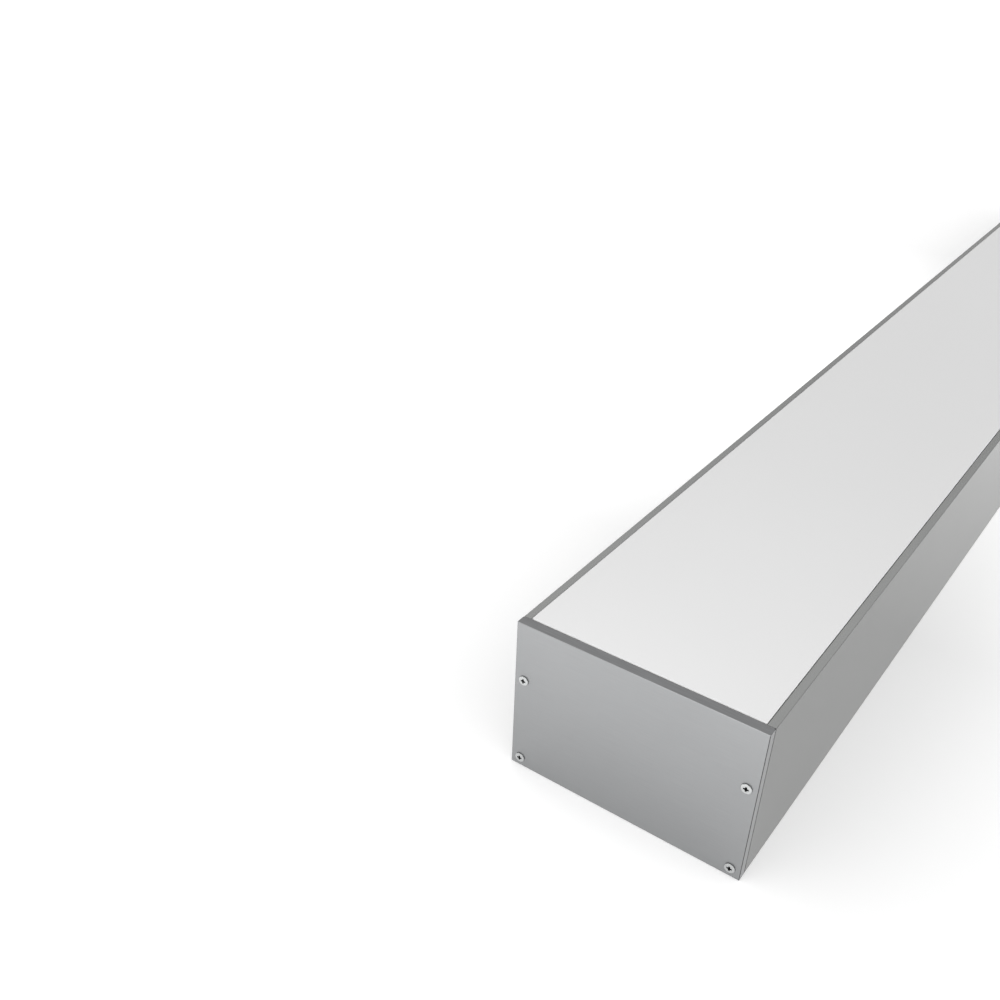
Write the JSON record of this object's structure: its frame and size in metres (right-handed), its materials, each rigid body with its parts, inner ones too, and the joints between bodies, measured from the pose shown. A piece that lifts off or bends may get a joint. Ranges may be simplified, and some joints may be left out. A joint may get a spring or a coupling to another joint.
{
  "type": "baseboard heater",
  "caption": "Long closed radiant baseboard heater: extruded aluminium bar with a flat white radiant face, screwed end plates and a sliding-nut wall rail along its back.",
  "frame": {"origin": "middle of the wall face, at the bottom centre of the bounding box", "axes": "+X along the bar, +Y across it, +Z out of the wall through the white radiant face; the bar lies on its wall face"},
  "size_m": [1.202, 0.128, 0.09],
  "materials": {
    "anodised_aluminium": "satin anodised, fine extrusion lines along the bar",
    "end_plate_aluminium": "satin anodised, fine brushed grain",
    "white_enamel": "matte white heat-resistant powder coat",
    "zinc_steel": "bright zinc plate",
    "bright_screw": "bright plated pan head",
    "galvanised_steel": "galvanised sheet",
    "bright_sheet": "bright rolled sheet",
    "mill_aluminium": "mill finish",
    "black_rubber": "matt silicone",
    "grey_silicone": "matt silicone",
    "mineral_wool": "fibrous board",
    "element_sheath": "stainless tube, dull",
    "ceramic_white": "steatite",
    "phenolic_black": "moulded phenolic",
    "brass_plain": "plain brass",
    "button_red": "moulded, slight gloss",
    "wire_brown": "silicone insulation",
    "wire_blue": "silicone insulation",
    "wire_green": "silicone insulation"
  },
  "bodies": {
    "heater": {"casing_extrusion": "anodised_aluminium", "left_end_plate": "end_plate_aluminium", "right_end_plate": "end_plate_aluminium", "left_end_gasket": "grey_silicone", "right_end_gasket": "grey_silicone", "left_end_screws": "bright_screw", "right_end_screws": "bright_screw", "radiant_panel": "white_enamel", "heat_spreader": "mill_aluminium", "heating_element": "element_sheath", "element_end_seals": "ceramic_white", "element_pins": "zinc_steel", "element_clamps": "galvanised_steel", "element_clamp_screws": "zinc_steel", "carrier_tray": "galvanised_steel", "wiring_tray": "galvanised_steel", "carrier_tray_screws": "zinc_steel", "wiring_tray_screws": "zinc_steel", "insulation_board": "mineral_wool", "reflector_sheet": "bright_sheet", "cable_entry_grommet": "black_rubber", "terminal_block": "ceramic_white", "terminal_screws": "brass_plain", "terminal_block_screws": "zinc_steel", "thermal_cutout": "phenolic_black", "cutout_tabs": "brass_plain", "cutout_bracket": "galvanised_steel", "cutout_bracket_screws": "zinc_steel", "earth_stud": "brass_plain", "earth_ring": "zinc_steel", "earth_nut": "brass_plain", "live_wire": "wire_brown", "element_wire": "wire_brown", "neutral_wire": "wire_blue", "earth_wire": "wire_green"},
    "left_nut": {"left_wall_nut": "zinc_steel"},
    "right_nut": {"right_wall_nut": "zinc_steel"},
    "button": {"reset_button": "button_red"}
  },
  "joints": [
    {"name": "left_wall_nut_slide", "type": "slide", "parent": "heater", "child": "left_nut", "axis": [1, 0, 0], "range_m": [-0.17, 0.375]},
    {"name": "right_wall_nut_slide", "type": "slide", "parent": "heater", "child": "right_nut", "axis": [1, 0, 0], "range_m": [-0.375, 0.17]},
    {"name": "reset_button_press", "type": "slide", "parent": "heater", "child": "button", "axis": [-1, 0, 0], "range_m": [0, 0.0012], "stiffness_N_per_m": 400}
  ]
}
